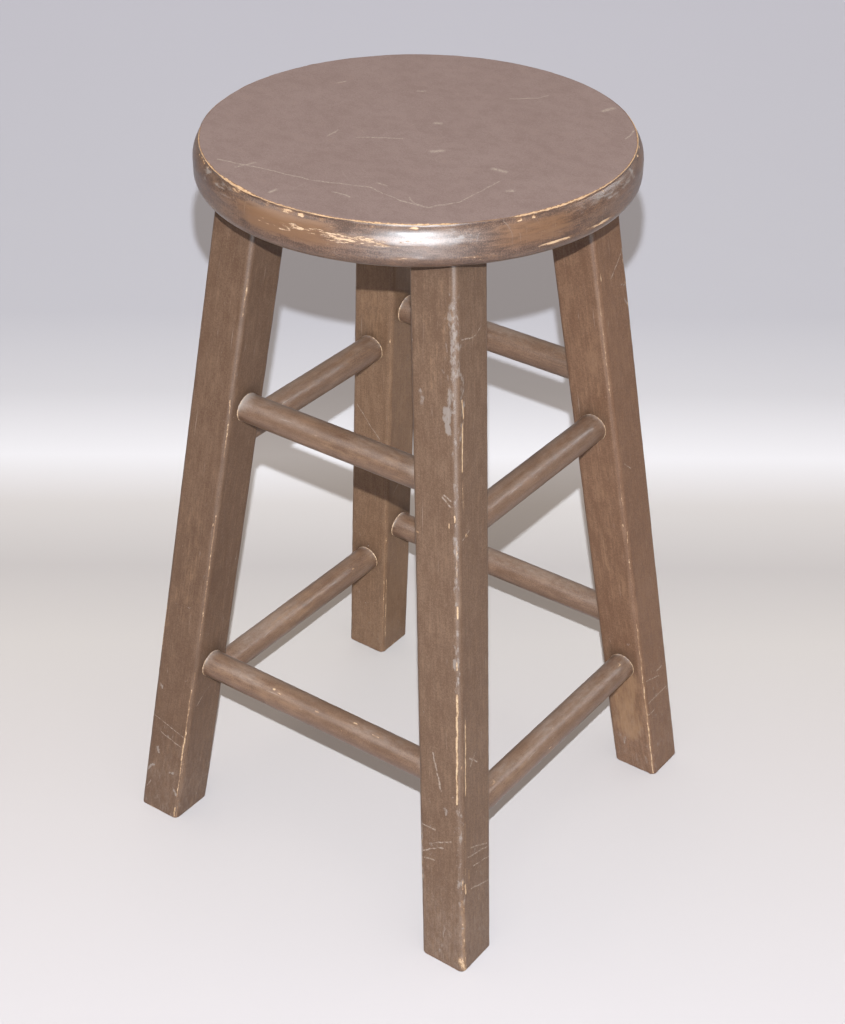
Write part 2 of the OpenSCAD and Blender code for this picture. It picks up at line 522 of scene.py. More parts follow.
# ================================================================ legs
class LegAxes:
    """One leg's own frame. u and v cross the stock and w runs down it, from the centre of
    the leg's top under the seat."""

    def __init__(self, side_name, end_name):
        self.name = f"{end_name}_{side_name}"
        self.node = f"leg_{self.name}"
        side, end = SIDES[side_name], ENDS[end_name]
        self.side, self.end = side, end
        pin_low, pin_high = node_box(f"seat_pin_{self.name}")
        low, high = node_box(self.node)
        self.top = (pin_low + pin_high) / 2
        self.top_z = high[2]
        inner = np.where((side, end) > np.zeros(2), low[:2], high[:2])
        outer = np.where((side, end) > np.zeros(2), high[:2], low[:2])
        foot = np.append(outer - (self.top[:2] - inner), 0.0)
        self.w = (foot - self.top) / np.linalg.norm(foot - self.top)
        turn = Vector((0, 0, -1)).rotation_difference(Vector(self.w))
        self.u = np.array(turn @ Vector((1, 0, 0)))
        self.v = np.array(turn @ Vector((0, 1, 0)))

    def local(self, points):
        return (points - self.top) @ np.column_stack([self.u, self.v, self.w])

    def at_height(self, uv, z):
        """Points of the stock at section points uv and heights z."""
        across = self.top + uv[:, :1] * self.u + uv[:, 1:] * self.v
        return across + ((z - across[:, 2]) / self.w[2])[:, None] * self.w

    def centre(self, z):
        return self.at_height(np.zeros((1, 2)), np.array([z]))[0]


def section_outline(s):
    """Points and outward normals of the leg's section at distances s round it, measured
    from the middle of its front right corner towards the right face."""
    flat = LEG_HALF_FLAT
    turns = np.round(np.asarray(s, float) / LEG_QUARTER)
    rest = s - turns * LEG_QUARTER
    bend = np.clip(rest, -LEG_ARC / 2, LEG_ARC / 2)
    angle = bend / LEG_CORNER_R - math.pi / 4
    normal = np.column_stack([np.cos(angle), np.sin(angle)])
    along = np.column_stack([-normal[:, 1], normal[:, 0]])
    point = np.array([flat, -flat]) + LEG_CORNER_R * normal + (rest - bend)[:, None] * along
    cos, sin = np.cos(turns * math.pi / 2), np.sin(turns * math.pi / 2)
    spin = np.stack([np.column_stack([cos, -sin]), np.column_stack([sin, cos])], axis=1)
    return np.einsum("nij,nj->ni", spin, point), np.einsum("nij,nj->ni", spin, normal)


def round_the_section(uv):
    """The distance round the section to the outline point nearest each uv."""
    flat, half_arc = LEG_HALF_FLAT, LEG_ARC / 2
    sector = np.floor((np.degrees(np.arctan2(uv[:, 1], uv[:, 0])) + 90) / 90)
    cos, sin = np.cos(-sector * math.pi / 2), np.sin(-sector * math.pi / 2)
    x = uv[:, 0] * cos - uv[:, 1] * sin
    y = uv[:, 0] * sin + uv[:, 1] * cos
    corner = LEG_CORNER_R * (np.arctan2(y + flat, x - flat) + math.pi / 4)
    s = np.where((x > flat) & (y < -flat), corner, 0.0)
    s = np.where((y >= -flat) & (x >= -y), half_arc + y + flat, s)
    s = np.where((x <= flat) & (x < -y), -half_arc - (flat - x), s)
    s = s + sector * LEG_QUARTER
    return np.where(s > 2 * LEG_QUARTER, s - 4 * LEG_QUARTER, s)


def section_columns():
    """Where the leg mesh's columns lie round the section, finer at the four corners."""
    fine = np.arange(-LEG_FINE_REACH, LEG_FINE_REACH, LEG_CORNER_STEP)
    count = round((LEG_QUARTER - 2 * LEG_FINE_REACH) / LEG_FLAT_STEP)
    coarse = np.linspace(LEG_FINE_REACH, LEG_QUARTER - LEG_FINE_REACH, count, endpoint=False)
    one = np.concatenate([fine, coarse])
    return np.concatenate([one + turn * LEG_QUARTER for turn in (-1, 0, 1, 2)])


def leg_blank(leg):
    """The undrilled leg: sides cut level under the seat and at the floor, with small bevels."""
    s = section_columns()
    outline, normal = section_outline(s)
    bevels = {leg.top_z: 0.5, leg.top_z - 0.5: 0.0, 1.3: 0.0, 0.5: 0.3, 0.0: 1.0}
    levels = np.linspace(leg.top_z - 2, 2.6, round((leg.top_z - 4) / LEG_ROW_STEP))
    rows = sorted([*bevels, *levels], reverse=True)
    points = []
    for z in rows:
        inset = bevels.get(z, 0.0)
        points.append(leg.at_height(outline - inset * normal, np.full(len(s), z)))
    points = np.vstack(points)
    return make_mesh(f"stool_{leg.node}", points, closed_bar(points, len(s)))


def leg_holes(leg, rungs):
    """The leg's four rung sockets and its pin hole."""
    holes = []
    for rung in rungs:
        if leg.name not in rung.legs:
            continue
        to_leg = (leg.centre(rung.centre[2]) - rung.centre) @ rung.along
        to_end = rung.along if to_leg > 0 else -rung.along
        end = rung.centre + to_end * (rung.half + END_ROOM)
        holes.append((end - to_end * LEG_W * 1.2, end, rung.radius + GLUE_GAP))
    half, radius = pin_size(leg)
    holes.append((leg.top - leg.w * LEG_W, leg.top + leg.w * (half + END_ROOM), radius + GLUE_GAP))
    return holes


def pin_size(leg):
    """The half length and the radius of a leg's pin, from its box and its lean."""
    low, high = node_box(f"seat_pin_{leg.name}")
    x, z = abs(leg.w[0]), abs(leg.w[2])
    spread = np.array([[x, math.sqrt(1 - x * x)], [z, math.sqrt(1 - z * z)]])
    return np.linalg.solve(spread, (high - low)[[0, 2]] / 2)


def mark_field(flat, marks, seed):
    """How strongly any of the marks covers each (round, up) point, from 0 to 1."""
    deep = np.column_stack([flat, np.zeros(len(flat))])
    wander = random_field(deep, (3, 6, 1), seed) * 0.4
    field = np.zeros(len(flat))
    for s0, z0, s1, z1, half_width, strength in marks:
        distance = near_segment(flat + wander[:, None] * (1, 0), (s0, z0), (s1, z1))
        cover = 1 - smooth(distance, 0.35 * half_width, 1.65 * half_width)
        field = np.maximum(field, strength * cover)
    return field


def random_marks(seed):
    """Small nicks along the corners and short rubs on the faces, as marks."""
    rng = np.random.default_rng(seed)
    nicks, rubs = [], []
    for _ in range(RANDOM_NICKS):
        corner = rng.integers(-1, 3) * LEG_QUARTER + rng.normal(0, 1.2)
        z = rng.uniform(5, MARKS_TOP)
        length = rng.exponential(3) + 0.5
        half_width, strength = rng.uniform(0.4, 0.8), rng.uniform(0.5, 0.8)
        nicks.append((corner, z, corner + rng.normal(0, 0.3), z + length, half_width, strength))
    for _ in range(RANDOM_RUBS):
        s, z = rng.uniform(-2, 2) * LEG_QUARTER, 4 + (MARKS_TOP - 4) * rng.random() ** 1.7
        lean, rise = rng.normal(0, 5), rng.exponential(5)
        half_width, strength = rng.uniform(0.4, 1.0), rng.uniform(0.3, 0.7)
        rubs.append((s, z, s + lean, z + rise, half_width, strength))
    return nicks, rubs


def stain_field(points, leg, rungs):
    """How dark the grime is round the rungs' joints, from 0 to 1, most of it above them."""
    field = np.zeros(len(points))
    for rung in rungs:
        if leg.name not in rung.legs:
            continue
        off = points - rung.centre
        off = off - (off @ rung.along)[:, None] * rung.along
        reach = np.linalg.norm(off, axis=1)
        faces = outside_of_leg(points, rung, leg) > -2
        halo = np.exp(-np.maximum(reach - rung.radius, 0) / JOINT_REACH)
        halo *= 0.6 + 0.4 * off[:, 2] / reach
        field = np.maximum(field, halo * faces)
    return field


def wear_leg(piece, leg, rungs, seed):
    """Moves a leg's surface inwards where it is worn or chipped, and stores its wear."""
    points = mesh_points(piece)
    local = leg.local(points)
    s = round_the_section(local[:, :2])
    outline, normal = section_outline(s)
    depth = ((outline - local[:, :2]) * normal).sum(axis=1)
    outside = depth < 1.2
    flat = np.column_stack([s, points[:, 2]])
    place = local + seed * 211.0
    from_corner = np.abs(s - LEG_QUARTER * np.round(s / LEG_QUARTER))

    nicks, rubs = random_marks(seed)
    bare = mark_field(flat, BARE_MARKS[leg.name] + tuple(nicks), seed + 1)
    scuff = mark_field(flat, SCUFF_MARKS[leg.name] + tuple(rubs), seed + 2)
    line = CORNER_LINES[leg.name] * (1 - smooth(from_corner, 0.2, 1.3))
    line *= 0.85 + 0.6 * random_field(place, (40, 40, 30), seed + 3)
    foot = 0.55 * (1 - smooth(points[:, 2], 0.4, 2.6))
    foot *= 0.75 + 0.5 * random_field(place, 7, seed + 4)
    bare = np.clip(np.maximum.reduce([bare, line, foot]), 0, 1)
    low_rub = 0.26 * (1 - smooth(points[:, 2], 25, 75))
    low_rub *= 0.8 + 0.5 * random_field(place, (9, 9, 25), seed + 5)
    scuff = np.clip(np.maximum(scuff, low_rub), 0, 1)

    sink = LEG_WAVE * (1 + random_field(place, (16, 16, 120), seed + 6))
    sink += LEG_RIPPLE * (1 + random_field(place, (5, 5, 40), seed + 7))
    chips = LEG_CHIP_DEPTH * smooth(bare, 0.55, 1.0)
    sink += chips * (0.7 + 0.3 * random_field(place, 2.5, seed + 8))
    easing = LEG_CORNER_WEAR * (1 - smooth(from_corner, 0, 3.5))
    sink += easing * (1 + random_field(place, (6, 6, 9), seed + 9))
    sink *= outside & (points[:, 2] > 0.01) & (points[:, 2] < leg.top_z - 0.3)
    inwards = -(normal[:, :1] * leg.u + normal[:, 1:] * leg.v)
    inwards[:, 2] = 0  # a level move keeps the cut ends flat
    set_points(piece, points + sink[:, None] * inwards)

    # Painted shade: the leg's top, where the seat's rim shades it, is darkened towards the grime colour
    painted_shade_under_seat = 0.55 * (1 - smooth(leg.top_z - points[:, 2], 3, 22))
    haze = LEG_HAZE[leg.name] * (1 - smooth(points[:, 2], 20, 170))
    stain = np.maximum(stain_field(points, leg, rungs), painted_shade_under_seat)
    store(
        piece,
        stock=local,
        grain=place / (1, 1, 22),
        flow=place / (1, 1, 2.4),
        bare=np.where(outside, bare, 1.0),
        scuff=np.where(outside, scuff, 0.0),
        dust=haze * outside,
        # Thin paint, and on the front faces a painted warm glow of reflected light
        thin=mark_field(flat, THIN_PAINT_AND_GLOW_MARKS[leg.name], seed + 10) * outside,
        stain=stain * outside,
    )


# ================================================================ rungs
class RungAxes:
    """One rung's place: its centre, its direction, its half length and its radius."""

    def __init__(self, tier, where):
        self.name = f"{tier}_{where}"
        self.node = f"rung_{self.name}"
        low, high = node_box(self.node)
        size = high - low
        axis = int(np.argmax(size))
        self.centre = (low + high) / 2
        self.along = np.eye(3)[axis]
        self.half = size[axis] / 2
        self.radius = size[2] / 2
        others = SIDES if where in ENDS else ENDS
        self.legs = [f"{where}_{o}" if where in ENDS else f"{o}_{where}" for o in others]


def nicks_on_rung(rung, at, outwards):
    """Deeper nicks on the rungs that have them, from 0 to 1."""
    field = np.zeros(len(at))
    for place, turn, half_length in RUNG_NICKS.get(rung.name, ()):
        way = np.cross(rung.along, (0, 0, 1.0)) * math.sin(math.radians(turn))
        way = way + np.array([0, 0, math.cos(math.radians(turn))])
        across = rung.radius * np.linalg.norm(outwards - way, axis=1)
        distance = np.hypot(across, np.maximum(np.abs(at - place) - half_length, 0))
        field = np.maximum(field, 1 - smooth(distance, 0.4, 1.3))
    return field


def outside_of_leg(points, rung, leg):
    """How far each point lies outside the leg's face that the rung enters."""
    uv_axis = leg.u if abs(rung.along[0]) > 0.5 else leg.v
    towards = uv_axis * (1 if (leg.centre(rung.centre[2]) - rung.centre) @ uv_axis > 0 else -1)
    face = leg.centre(rung.centre[2]) - towards * LEG_W / 2
    return (face - points) @ towards


def rung_rows(rung, legs, shank):
    """Where the rung's rings lie along it, finer where it enters a leg."""
    leg = legs[rung.legs[0]]
    joint = abs((leg.centre(rung.centre[2]) - rung.centre) @ rung.along) - LEG_W / 2
    fine = np.arange(joint - 4, joint + 2, 0.4)
    middle = np.linspace(-joint + 5, joint - 5, round(2 * joint / RUNG_ROW_STEP))
    hidden = np.linspace(joint + 3, shank, 8)
    half = np.concatenate([fine, hidden])
    return np.sort(np.concatenate([-half, middle, half]))[::-1]


def build_rung(rung, legs, seed, material):
    """A turned rung with hidden bevelled ends, a bead of paint at each joint and wear."""
    shank = rung.half - RUNG_CHAMFER
    rows = np.concatenate([[rung.half], rung_rows(rung, legs, shank), [-rung.half]])
    across = np.cross(rung.along, (0, 0, 1.0))
    over = np.array([0, 0, 1.0])
    if np.cross(across, over) @ rung.along < 0:
        across = -across
    rings = []
    for at in rows:
        radius = rung.radius - (RUNG_CHAMFER if abs(at) == rung.half else 0)
        rings.append(ring_points(rung.centre + at * rung.along, across, over, radius, RUNG_COLUMNS))
    points = np.vstack(rings)
    piece = make_mesh(f"stool_{rung.node}", points, closed_bar(points, RUNG_COLUMNS))

    at = (points - rung.centre) @ rung.along
    off = points - rung.centre - at[:, None] * rung.along
    reach = np.linalg.norm(off, axis=1)
    outwards = off / reach[:, None]
    upward = outwards[:, 2]
    free = np.minimum.reduce([outside_of_leg(points, rung, legs[name]) for name in rung.legs])
    stock = np.column_stack([off @ across, off @ over, at])
    place = stock + seed * 97.0

    shown = free > 0
    dusty = RUNG_DUST.get(rung.name, USUAL_DUST)
    bead = BEAD_HEIGHT * np.exp(-((free - 0.3) / 0.6) ** 2) * shown
    bead *= 0.8 + 0.35 * random_field(place, 4, seed + 1)
    sink = RUNG_WAVE * (1 + random_field(place, (9, 9, 60), seed + 2))
    sink += RUNG_RIPPLE * (1 + random_field(place, (3, 3, 30), seed + 3))
    nick = smooth(random_field(place, (3.2, 3.2, 6), seed + 4), 0.84, 0.98) * shown
    nick = np.maximum(nick, nicks_on_rung(rung, at, outwards))
    sink += RUNG_NICK_DEPTH * nick
    sink *= shown & (abs(at) < rung.half - RUNG_CHAMFER)
    set_points(piece, points + (bead - sink)[:, None] * outwards)

    ring = (1 - smooth(free, 0.7, 1.3)) * shown
    near = np.exp(-np.maximum(free, 0) / JOINT_REACH) * shown
    settled = 0.26 * smooth(upward, 0.1, 0.9)
    settled *= 1 + 0.8 * random_field(place, (12, 12, 30), seed + 6)
    dust = np.maximum(near * dusty * (0.3 + smooth(upward, -0.1, 0.8)), settled)
    store(
        piece,
        stock=stock,
        grain=place / (1, 1, 18),
        flow=place / (1, 1, 2.4),
        bare=np.clip(np.maximum(ring * (0.84 - 0.22 * upward), 0.85 * nick), 0, 1),
        scuff=np.clip(ring * (0.15 + 0.5 * upward), 0, 1),
        dust=np.clip(dust, 0, 1),
        thin=0.25 * smooth(random_field(place, (40, 40, 60), seed + 5), -0.2, 0.8),
        stain=0.35 * near * (1 - dusty),
    )
    finish_piece(piece, rung.node, material)


# ================================================================ seat
def seat_profile(thickness, widest_r):
    """The seat's section from the middle of its top, down the rim and back under it, as
    (radius, depth below the top) pairs."""
    step_depth = SEAT_WIDEST_DEPTH - math.sqrt(
        SEAT_UPPER_R**2 - (SEAT_EDGE_R - widest_r + SEAT_UPPER_R) ** 2
    )
    soft = SEAT_EDGE_SOFT
    profile = [(r, 0.0) for r in np.arange(8, 152, 8)]
    profile += [(r, 0.0) for r in np.arange(152, SEAT_EDGE_R - soft, 0.55)]
    for turn in np.linspace(0, math.pi / 2, 5):
        profile.append((SEAT_EDGE_R - soft + soft * math.sin(turn), soft - soft * math.cos(turn)))
    profile += [(SEAT_EDGE_R, d) for d in np.linspace(soft + 0.5, step_depth, 4)]
    centre_r = widest_r - SEAT_UPPER_R
    start = math.asin((SEAT_WIDEST_DEPTH - step_depth) / SEAT_UPPER_R)
    for turn in np.linspace(start, 0, 28)[1:]:
        depth = SEAT_WIDEST_DEPTH - SEAT_UPPER_R * math.sin(turn)
        profile.append((centre_r + SEAT_UPPER_R * math.cos(turn), depth))
    lower_start = thickness - SEAT_LOWER_R
    profile += [(widest_r, d) for d in np.arange(SEAT_WIDEST_DEPTH + 0.6, lower_start, 0.6)]
    for turn in np.linspace(0, math.pi / 2, 28):
        depth = lower_start + SEAT_LOWER_R * math.sin(turn)
        profile.append((widest_r - SEAT_LOWER_R + SEAT_LOWER_R * math.cos(turn), depth))
    profile += [(r, thickness) for r in np.arange(widest_r - SEAT_LOWER_R - 5, 8, -7)]
    return np.array(profile)


def angle_share(theta, spans, soft=2.5):
    """The strength of the span each angle lies in, fading over soft degrees at its ends."""
    share = np.zeros(len(theta))
    for low, high, strength in spans:
        middle, half = (low + high) / 2, (high - low) / 2
        away = np.abs((theta - middle + 180) % 360 - 180)
        share = np.maximum(share, strength * (1 - smooth(away, half - soft, half + soft)))
    return share


def wear_seat(piece, top_z, thickness, widest_r):
    """Moves the seat's surface inwards where it is worn, and stores its wear."""
    points = mesh_points(piece)
    radius = np.hypot(points[:, 0], points[:, 1])
    theta = np.degrees(np.arctan2(points[:, 1], points[:, 0]))
    depth = top_z - points[:, 2]
    inside = (radius < SEAT_EDGE_R - 9) & (radius < widest_r - SEAT_LOWER_R - 0.5)
    under = (depth > thickness - 0.02) | ((depth > 2) & inside)
    on_top = depth < 0.02
    run = depth - np.where(depth < 0.6, np.maximum(SEAT_EDGE_R - SEAT_EDGE_SOFT - radius, 0), 0)
    rim = np.column_stack([
        np.cos(np.radians(theta)) * widest_r,
        np.sin(np.radians(theta)) * widest_r,
        run,
    ])

    edge_noise = random_field(rim, (9, 9, 400), SEAT_SEED + 1)
    fine_noise = random_field(rim, (2.5, 2.5, 400), SEAT_SEED + 2)
    worn = angle_share(theta, TOP_EDGE_WEAR)
    wide = angle_share(theta, TOP_EDGE_WIDE)
    width = 0.50 + 0.45 * worn + 0.9 * wide + 0.20 * edge_noise + 0.25 * fine_noise
    edge_line = 1 - smooth(np.abs(run - 0.3), 0.3 * width, 1.2 * width)
    edge_line *= 0.30 + 0.62 * worn + 0.14 * edge_noise
    chips = angle_share(theta, TOP_EDGE_WEAR) * (1 - smooth(np.abs(run - 2.6), 0.6, 2.4))
    chips *= 0.75 * smooth(random_field(rim, (5, 5, 3), SEAT_SEED + 3), 0.0, 0.6)
    from_girth = np.abs(depth - SEAT_WIDEST_DEPTH + 1.5)
    girth = angle_share(theta, GIRTH_WEAR) * (1 - smooth(from_girth, 2.0, 6.0))
    girth *= 0.54 + 0.20 * random_field(rim, (16, 16, 2.5), SEAT_SEED + 4)
    lower_at = thickness - SEAT_LOWER_R + 0.5
    lower = angle_share(theta, LOWER_LINE_WEAR) * (1 - smooth(np.abs(depth - lower_at), 0.4, 1.9))
    lower *= 0.75 + 0.30 * random_field(rim, (7, 7, 3), SEAT_SEED + 5)
    spots = 0.22 + 0.18 * random_field(rim, (14, 14, 6), SEAT_SEED + 6)
    spots *= smooth(depth, 2, 6) * (1 - under)
    bare = np.maximum.reduce([edge_line, chips, girth, lower, spots])
    bare = np.where(under | (depth > thickness + 0.05), 0.0, np.clip(bare, 0, 1))

    on_round = smooth(depth, 2.5, 6) * (1 - smooth(depth, 17, 24))
    thin = angle_share(theta, THIN_PAINT, 6) * on_round
    # Pale rubs on the rim, partly real and partly a painted highlight
    rubs = angle_share(theta, RIM_RUBS_AND_SHEEN, 4) * smooth(depth, 1.5, 4) * (1 - smooth(depth, 9, 14))
    rubs = np.maximum(rubs * (0.55 + 0.3 * random_field(rim, (5, 5, 3), SEAT_SEED + 7)), 0.10 * on_round)
    near_edge = 0.55 * on_top * smooth(radius, SEAT_EDGE_R - 8, SEAT_EDGE_R)
    near_edge *= smooth(random_field(rim, (6, 6, 60), SEAT_SEED + 8), 0.1, 0.8)

    flat_place = points * (1, 1, 0.2)
    sink = SEAT_WAVE * (1 + random_field(flat_place, 55, SEAT_SEED + 9)) * (depth < 0.3)
    sink += SEAT_CHIP_DEPTH * smooth(bare, 0.4, 1.0) * (1 + 0.5 * fine_noise)
    sink += RIM_WAVE * (1 + random_field(rim, (7, 7, 4), SEAT_SEED + 10)) * smooth(depth, 0.5, 3)
    edge_wear = SEAT_EDGE_WEAR * (1 - smooth(np.abs(run - 0.3), 0.2, 1.2))
    sink += edge_wear * (1 + 0.8 * edge_noise) * (0.3 + worn)
    sink *= 1 - under
    tilt = smooth(depth, 0.0, 1.0)
    across = -points[:, :2] / radius[:, None] * tilt[:, None]
    inwards = np.column_stack([across, tilt - 1])
    set_points(piece, points + sink[:, None] * inwards)

    loose = np.column_stack([points[:, 0] / 2, points[:, 1] / 1.5, depth])
    level = smooth(depth, 0.0, 0.6)[:, None]
    store(
        piece,
        stock=points - (0, 0, top_z),
        grain=loose + level * (rim / (9, 9, 1) + 500 - loose),
        flow=loose + level * (rim / (4, 4, 0.8) + 500 - loose),
        bare=bare,
        scuff=np.clip(np.maximum(rubs, near_edge), 0, 1),
        thin=np.clip(thin, 0, 1),
        dust=np.zeros(len(points)),
        flat=on_top.astype(float),
        stain=np.zeros(len(points)),
    )


def build_seat(legs, material):
    """The turned seat board, with a blind hole for each leg's pin."""
    low, high = node_box("seat")
    thickness, widest_r = high[2] - low[2], high[0]
    profile = seat_profile(thickness, widest_r)
    turn = np.linspace(0, 2 * math.pi, SEAT_COLUMNS, endpoint=False)
    points = np.vstack([
        np.column_stack([r * np.cos(turn), r * np.sin(turn), np.full(SEAT_COLUMNS, high[2] - d)])
        for r, d in profile
    ])
    piece = make_mesh("stool_seat", points, closed_bar(points, SEAT_COLUMNS))
    holes = []
    for leg in legs.values():
        half, radius = pin_size(leg)
        holes.append((leg.top + leg.w * 20, leg.top - leg.w * (half + END_ROOM), radius + GLUE_GAP))
    drill(piece, holes)
    wear_seat(piece, high[2], thickness, widest_r)
    finish_piece(piece, "seat", material)


# ================================================================ materials
class Nodes:
    """Wires up one node tree. Each method adds a node and returns its result."""

    def __init__(self, tree):
        self.tree = tree

    def add(self, kind, inputs, output=0, **settings):
        node = self.tree.nodes.new(kind)
        for key, value in settings.items():
            setattr(node, key, value)
        for key, value in inputs.items():
            if isinstance(value, bpy.types.NodeSocket):
                self.tree.links.new(value, node.inputs[key])
            else:
                node.inputs[key].default_value = value
        return node.outputs[output]

    def math(self, operation, *values, clamp=False):
        inputs = dict(enumerate(values))
        return self.add("ShaderNodeMath", inputs, operation=operation, use_clamp=clamp)

    def scaled(self, value, factor, plus, clamp=False):
        """value * factor + plus"""
        return self.math("MULTIPLY_ADD", value, factor, plus, clamp=clamp)

    def vector(self, operation, *values, output=0):
        return self.add("ShaderNodeVectorMath", dict(enumerate(values)), output, operation=operation)

    def mix(self, share, first, second):
        return self.add("ShaderNodeMix", {0: share, 6: first, 7: second}, 2, data_type="RGBA")

    def step(self, value, low, high, to_low=0.0, to_high=1.0):
        inputs = {0: value, 1: low, 2: high, 3: to_low, 4: to_high}
        return self.add("ShaderNodeMapRange", inputs, interpolation_type="SMOOTHSTEP")

    def noise(self, place, scale, detail=3.0, roughness=0.55, distortion=0.0, output=0):
        inputs = {
            "Vector": place,
            "Scale": scale,
            "Detail": detail,
            "Roughness": roughness,
            "Distortion": distortion,
        }
        return self.add("ShaderNodeTexNoise", inputs, output)

    def ramp(self, value, stops):
        """A colour ramp through (position, colour) stops."""
        node = self.tree.nodes.new("ShaderNodeValToRGB")
        elements = node.color_ramp.elements
        while len(elements) < len(stops):
            elements.new(0.5)
        for element, (position, colour) in zip(elements, stops):
            element.position = position
            element.color = (*colour[:3], 1)
        self.tree.links.new(value, node.inputs[0])
        return node.outputs[0]

    def stored(self, name, output=2):
        return self.add("ShaderNodeAttribute", {}, output, attribute_name=name)

    def shader(self, inputs):
        """The tree's one surface shader."""
        end = self.tree.nodes.new("ShaderNodeOutputMaterial")
        surface = self.add("ShaderNodeBsdfPrincipled", inputs)
        self.tree.links.new(surface, end.inputs["Surface"])


def new_material(name):
    material = bpy.data.materials.new(name)
    material.use_nodes = True
    material.node_tree.nodes.clear()
    return material, Nodes(material.node_tree)


def scratch_group():
    """A node group that marks the points within Width of the line between two ends."""
    group = bpy.data.node_groups.new("straight_scratch", "ShaderNodeTree")
    for name in ("Point", "From", "To"):
        group.interface.new_socket(name, in_out="INPUT", socket_type="NodeSocketVector")
    group.interface.new_socket("Width", in_out="INPUT", socket_type="NodeSocketFloat")
    group.interface.new_socket("Mark", in_out="OUTPUT", socket_type="NodeSocketFloat")
    n = Nodes(group)
    given = group.nodes.new("NodeGroupInput").outputs
    line = n.vector("SUBTRACT", given["To"], given["From"])
    reach = n.vector("SUBTRACT", given["Point"], given["From"])
    along = n.vector("DOT_PRODUCT", reach, line, output=1)
    length = n.vector("DOT_PRODUCT", line, line, output=1)
    share = n.math("DIVIDE", along, length, clamp=True)
    nearest = n.add("ShaderNodeVectorMath", {0: line, "Scale": share}, operation="SCALE")
    distance = n.vector("LENGTH", n.vector("SUBTRACT", reach, nearest), output=1)
    mark = n.step(distance, given["Width"], 0.0)
    group.links.new(mark, group.nodes.new("NodeGroupOutput").inputs["Mark"])
    return group


def placed_scratches(nodes, group, place, scratches):
    """The strongest of several scratches, slightly wavy and broken up."""
    wobble = nodes.noise(place, 0.11, detail=2, output=1)
    wobble = nodes.vector("MULTIPLY_ADD", wobble, (3.2, 3.2, 3.2), (-1.6, -1.6, -1.6))
    wavy = nodes.vector("ADD", place, wobble)
    strongest = None
    for start, stop, half_width in scratches:
        mark = nodes.tree.nodes.new("ShaderNodeGroup")
        mark.node_tree = group
        nodes.tree.links.new(wavy, mark.inputs["Point"])
        mark.inputs["From"].default_value = start
        mark.inputs["To"].default_value = stop
        mark.inputs["Width"].default_value = SCRATCH_FADE * half_width
        mark = mark.outputs[0]
        strongest = mark if strongest is None else nodes.math("MAXIMUM", strongest, mark)
    broken = nodes.step(nodes.noise(place, 0.6, detail=5, roughness=0.7), 0.38, 0.58, 0.12, 1.0)
    return nodes.math("MULTIPLY", strongest, broken)


def hairlines(nodes, place, turns, fineness, sparseness):
    """Long fine scratches in several directions, from contour lines of stretched noise."""
    strongest = None
    for index, turn in enumerate(turns):
        inputs = {0: place, 1: (37.0 * index, 0, 0), 2: Euler(turn), 3: (60, 1.6, 60)}
        stretched = nodes.add("ShaderNodeMapping", inputs, vector_type="TEXTURE")
        field = nodes.noise(stretched, fineness, detail=1.0)
        line = nodes.step(nodes.math("ABSOLUTE", nodes.math("SUBTRACT", field, 0.5)), 0.006, 0.0)
        gaps = nodes.noise(stretched, fineness * 3.1, detail=2.0)
        where = nodes.step(gaps, sparseness, sparseness + 0.08)
        line = nodes.math("MULTIPLY", line, where)
        strongest = line if strongest is None else nodes.math("MAXIMUM", strongest, line)
    return strongest


